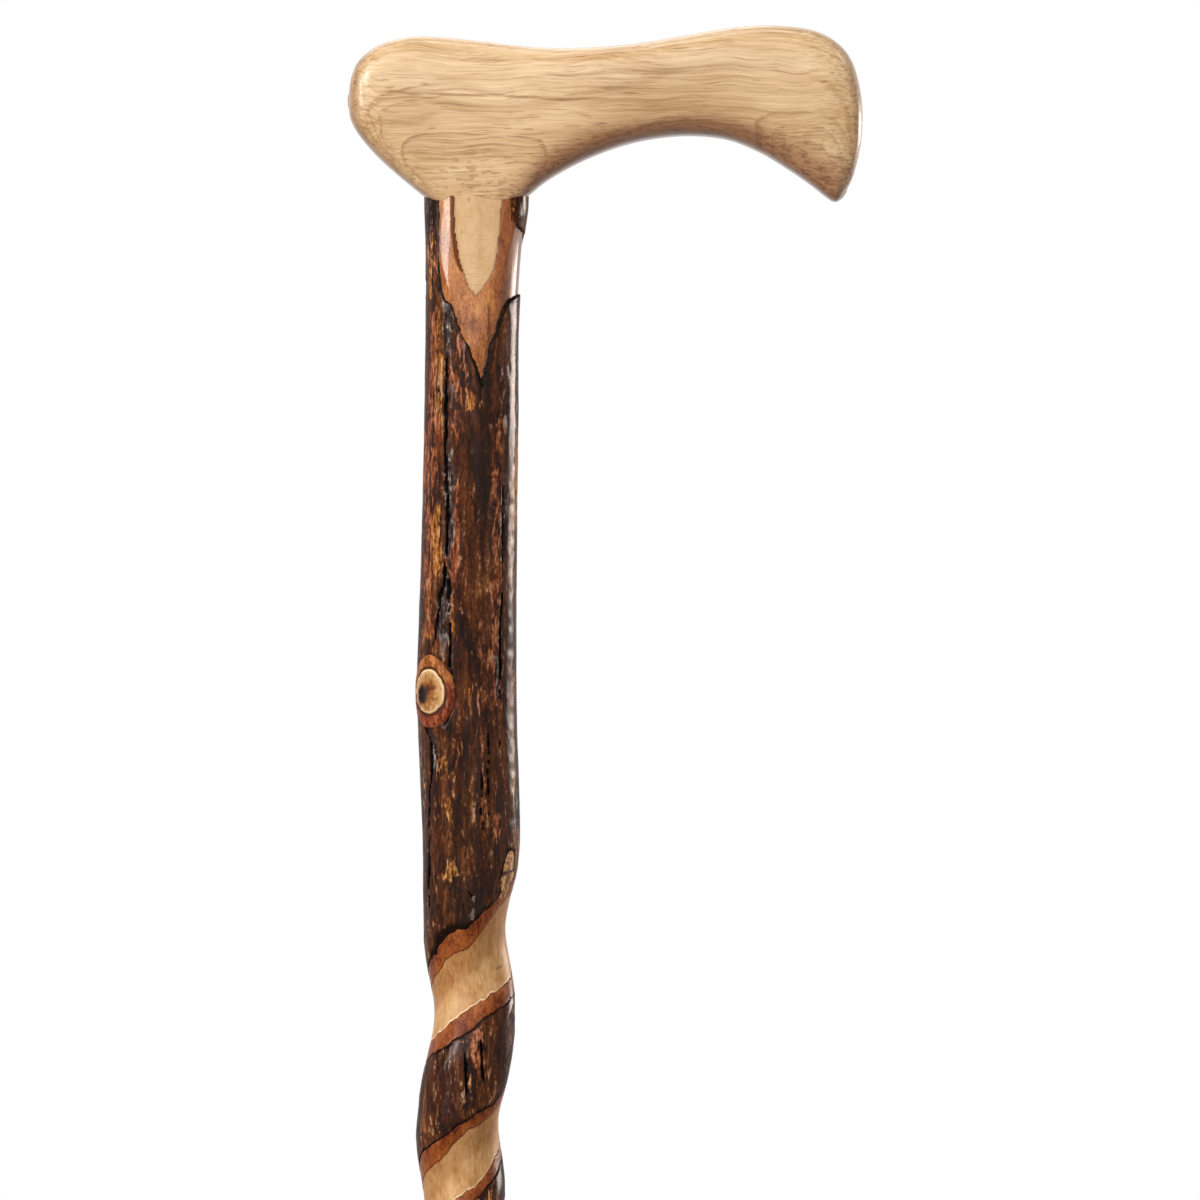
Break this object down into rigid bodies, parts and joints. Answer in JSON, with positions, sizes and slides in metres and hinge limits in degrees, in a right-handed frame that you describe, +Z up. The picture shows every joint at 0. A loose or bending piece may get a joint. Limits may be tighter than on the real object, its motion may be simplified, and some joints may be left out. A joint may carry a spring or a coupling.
{
  "type": "walking cane",
  "caption": "Wooden walking cane: a curved derby-style handle on a bark-on stick with a carved spiral, a flush-cut knot and a ribbed rubber ferrule.",
  "frame": {"origin": "middle of the ferrule's tread, on the ground that the cane stands on", "axes": "+Z up along the stick, +X along the handle towards its beak, +Y across the handle's thickness"},
  "size_m": [0.141, 0.035, 0.9398],
  "materials": {
    "oak_varnished": "satin varnish",
    "stick_wood_varnished": "gloss varnish",
    "inner_bark": "gloss varnish",
    "outer_bark": "gloss varnish",
    "zinc_steel": "zinc plated",
    "black_rubber": "moulded matt"
  },
  "bodies": {
    "stick": {"handle": "oak_varnished", "handle_stud": "zinc_steel", "shaft_wood": "stick_wood_varnished", "inner_bark": "inner_bark", "outer_bark": "outer_bark"},
    "ferrule": {"ferrule": "black_rubber", "ferrule_washer": "zinc_steel"}
  },
  "joints": [
    {"name": "ferrule_pull_off", "type": "slide", "parent": "stick", "child": "ferrule", "axis": [0, 0, -1], "range_m": [0, 0.04]}
  ]
}
